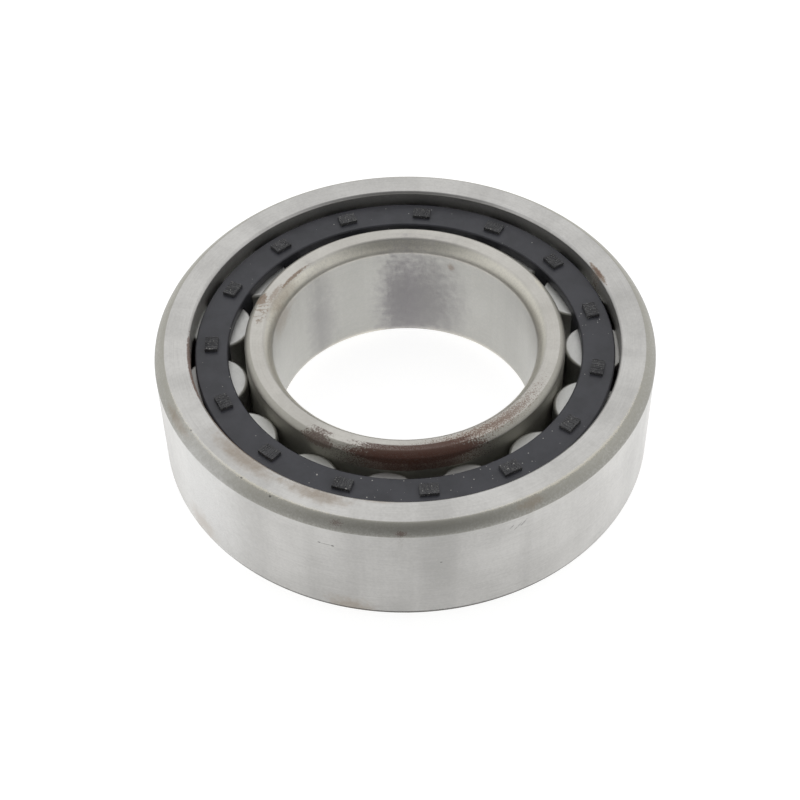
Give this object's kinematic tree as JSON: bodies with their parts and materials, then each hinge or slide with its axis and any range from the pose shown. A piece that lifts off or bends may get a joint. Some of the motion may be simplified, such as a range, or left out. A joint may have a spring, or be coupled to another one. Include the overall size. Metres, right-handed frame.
{
  "type": "cylindrical roller bearing",
  "caption": "Radial bearing with cylindrical rollers in a headed comb cage, a flanged outer ring and a plain inner ring that pulls out.",
  "frame": {"origin": "the bearing's centre: on its axis, midway between the faces of the rings", "axes": "+Z along the bearing's axis, towards the side where the cage's bars are headed; +X through the axis of roller_01"},
  "size_m": [0.085, 0.085, 0.023],
  "materials": {
    "ring_steel": "ground, satin, lightly rusted",
    "roller_steel": "fine ground",
    "cage_plastic": "moulded, glass-filled, satin"
  },
  "bodies": {
    "outer_ring": {"outer_ring": "ring_steel"},
    "inner_ring": {"inner_ring": "ring_steel"},
    "cage": {"cage_comb": "cage_plastic", "cage_cover": "cage_plastic"},
    "roller_01": {"roller_01": "roller_steel"},
    "roller_02": {"roller_02": "roller_steel"},
    "roller_03": {"roller_03": "roller_steel"},
    "roller_04": {"roller_04": "roller_steel"},
    "roller_05": {"roller_05": "roller_steel"},
    "roller_06": {"roller_06": "roller_steel"},
    "roller_07": {"roller_07": "roller_steel"},
    "roller_08": {"roller_08": "roller_steel"},
    "roller_09": {"roller_09": "roller_steel"},
    "roller_10": {"roller_10": "roller_steel"},
    "roller_11": {"roller_11": "roller_steel"},
    "roller_12": {"roller_12": "roller_steel"},
    "roller_13": {"roller_13": "roller_steel"},
    "roller_14": {"roller_14": "roller_steel"},
    "roller_15": {"roller_15": "roller_steel"}
  },
  "joints": [
    {"name": "inner_ring_spin", "type": "hinge", "parent": "outer_ring", "child": "inner_ring", "pos_m": [0, 0, 0], "axis": [0, 0, 1], "continuous": true},
    {"name": "cage_orbit", "type": "hinge", "parent": "outer_ring", "child": "cage", "pos_m": [0, 0, 0], "axis": [0, 0, 1], "continuous": true},
    {"name": "roller_01_spin", "type": "hinge", "parent": "cage", "child": "roller_01", "pos_m": [0.03277, 0, 0], "axis": [0, 0, 1], "continuous": true},
    {"name": "roller_02_spin", "type": "hinge", "parent": "cage", "child": "roller_02", "pos_m": [0.02994, 0.01333, 0], "axis": [0, 0, 1], "continuous": true},
    {"name": "roller_03_spin", "type": "hinge", "parent": "cage", "child": "roller_03", "pos_m": [0.02193, 0.02436, 0], "axis": [0, 0, 1], "continuous": true},
    {"name": "roller_04_spin", "type": "hinge", "parent": "cage", "child": "roller_04", "pos_m": [0.01013, 0.03117, 0], "axis": [0, 0, 1], "continuous": true},
    {"name": "roller_05_spin", "type": "hinge", "parent": "cage", "child": "roller_05", "pos_m": [-0.00343, 0.0326, 0], "axis": [0, 0, 1], "continuous": true},
    {"name": "roller_06_spin", "type": "hinge", "parent": "cage", "child": "roller_06", "pos_m": [-0.01639, 0.02838, 0], "axis": [0, 0, 1], "continuous": true},
    {"name": "roller_07_spin", "type": "hinge", "parent": "cage", "child": "roller_07", "pos_m": [-0.02652, 0.01926, 0], "axis": [0, 0, 1], "continuous": true},
    {"name": "roller_08_spin", "type": "hinge", "parent": "cage", "child": "roller_08", "pos_m": [-0.03206, 0.00681, 0], "axis": [0, 0, 1], "continuous": true},
    {"name": "roller_09_spin", "type": "hinge", "parent": "cage", "child": "roller_09", "pos_m": [-0.03206, -0.00681, 0], "axis": [0, 0, 1], "continuous": true},
    {"name": "roller_10_spin", "type": "hinge", "parent": "cage", "child": "roller_10", "pos_m": [-0.02652, -0.01926, 0], "axis": [0, 0, 1], "continuous": true},
    {"name": "roller_11_spin", "type": "hinge", "parent": "cage", "child": "roller_11", "pos_m": [-0.01639, -0.02838, 0], "axis": [0, 0, 1], "continuous": true},
    {"name": "roller_12_spin", "type": "hinge", "parent": "cage", "child": "roller_12", "pos_m": [-0.00343, -0.0326, 0], "axis": [0, 0, 1], "continuous": true},
    {"name": "roller_13_spin", "type": "hinge", "parent": "cage", "child": "roller_13", "pos_m": [0.01013, -0.03117, 0], "axis": [0, 0, 1], "continuous": true},
    {"name": "roller_14_spin", "type": "hinge", "parent": "cage", "child": "roller_14", "pos_m": [0.02193, -0.02436, 0], "axis": [0, 0, 1], "continuous": true},
    {"name": "roller_15_spin", "type": "hinge", "parent": "cage", "child": "roller_15", "pos_m": [0.02994, -0.01333, 0], "axis": [0, 0, 1], "continuous": true}
  ],
  "couplings": [
    {"joint": "cage_orbit", "follows": "inner_ring_spin", "ratio": 0.41609},
    {"joint": "roller_01_spin", "follows": "inner_ring_spin", "ratio": -2.8956},
    {"joint": "roller_02_spin", "follows": "inner_ring_spin", "ratio": -2.8956},
    {"joint": "roller_03_spin", "follows": "inner_ring_spin", "ratio": -2.8956},
    {"joint": "roller_04_spin", "follows": "inner_ring_spin", "ratio": -2.8956},
    {"joint": "roller_05_spin", "follows": "inner_ring_spin", "ratio": -2.8956},
    {"joint": "roller_06_spin", "follows": "inner_ring_spin", "ratio": -2.8956},
    {"joint": "roller_07_spin", "follows": "inner_ring_spin", "ratio": -2.8956},
    {"joint": "roller_08_spin", "follows": "inner_ring_spin", "ratio": -2.8956},
    {"joint": "roller_09_spin", "follows": "inner_ring_spin", "ratio": -2.8956},
    {"joint": "roller_10_spin", "follows": "inner_ring_spin", "ratio": -2.8956},
    {"joint": "roller_11_spin", "follows": "inner_ring_spin", "ratio": -2.8956},
    {"joint": "roller_12_spin", "follows": "inner_ring_spin", "ratio": -2.8956},
    {"joint": "roller_13_spin", "follows": "inner_ring_spin", "ratio": -2.8956},
    {"joint": "roller_14_spin", "follows": "inner_ring_spin", "ratio": -2.8956},
    {"joint": "roller_15_spin", "follows": "inner_ring_spin", "ratio": -2.8956}
  ]
}
